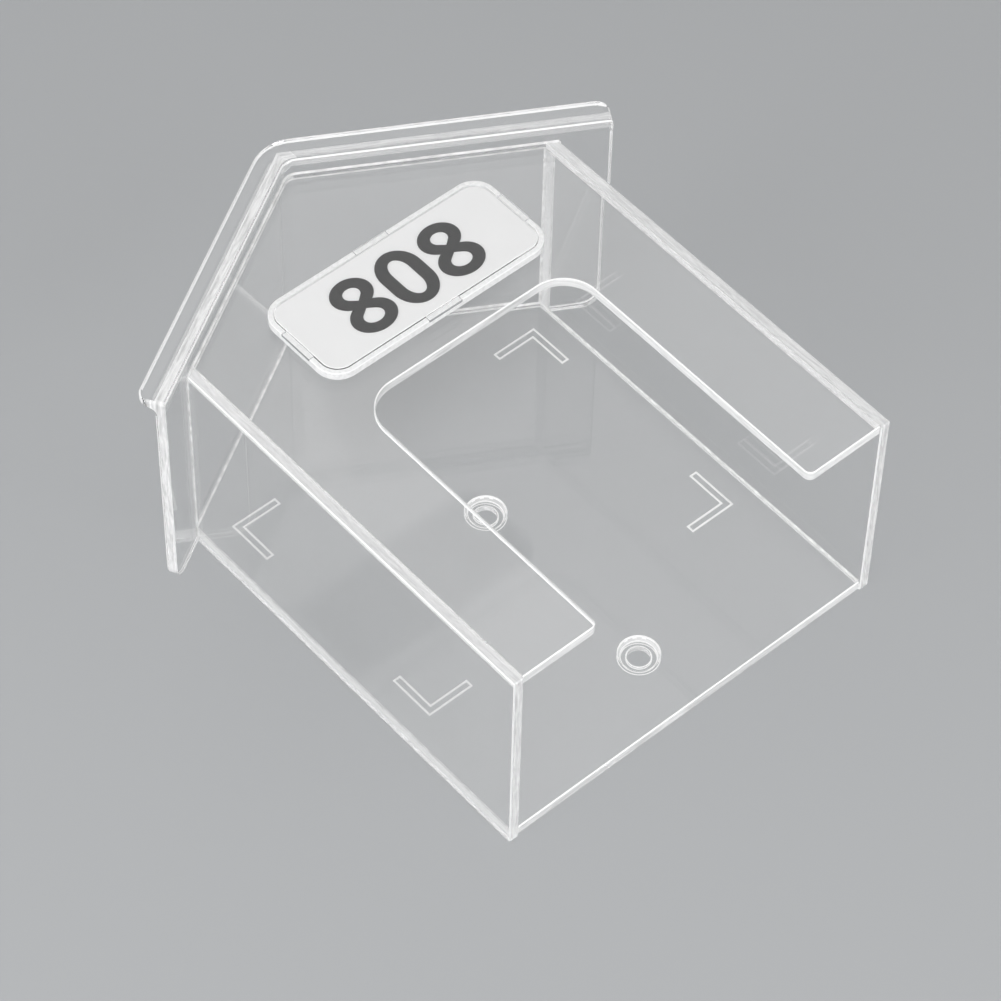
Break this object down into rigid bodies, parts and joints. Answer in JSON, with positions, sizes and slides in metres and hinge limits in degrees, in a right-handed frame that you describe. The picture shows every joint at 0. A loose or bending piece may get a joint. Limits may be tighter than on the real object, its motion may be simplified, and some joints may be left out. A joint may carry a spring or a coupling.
{
  "type": "doorbell rain cover",
  "caption": "House-shaped clear acrylic rain cover for a wall doorbell: open base, cut-out front, peaked roof with a rain lip and a clip-in holder for the house number.",
  "frame": {"origin": "on the rear face, midway between the two wall screw holes", "axes": "+Z out of the wall, towards the front plate; +Y up the wall, towards the ridge; +X to the right as seen from the front. At rest the cover lies on its back, as pictured, so the rear face is at Z = 0."},
  "size_m": [0.1494, 0.163, 0.07],
  "materials": {
    "acrylic_sheet": "clear cast acrylic sheet, polished faces, flame-polished cut edges",
    "bent_acrylic": "clear acrylic sheet, heat-bent at the ridge and along the rain lip",
    "holder_acrylic": "clear moulded acrylic, glossy",
    "clear_tape": "clear double-sided adhesive pad",
    "white_card": "smooth matt white card",
    "digit_film": "dark grey self-adhesive film"
  },
  "bodies": {
    "housing": {"back_plate": "acrylic_sheet", "front_plate": "acrylic_sheet", "left_wall": "acrylic_sheet", "right_wall": "acrylic_sheet", "roof_sheet": "bent_acrylic", "adhesive_pads": "clear_tape", "number_tray": "holder_acrylic", "number_card": "white_card", "digit_left": "digit_film", "digit_middle": "digit_film", "digit_right": "digit_film"},
    "number_lid": {"number_cover": "holder_acrylic"}
  },
  "joints": [
    {"name": "number_lid_lift", "type": "slide", "parent": "housing", "child": "number_lid", "axis": [0, 0, 1], "range_m": [0, 0.01]}
  ]
}
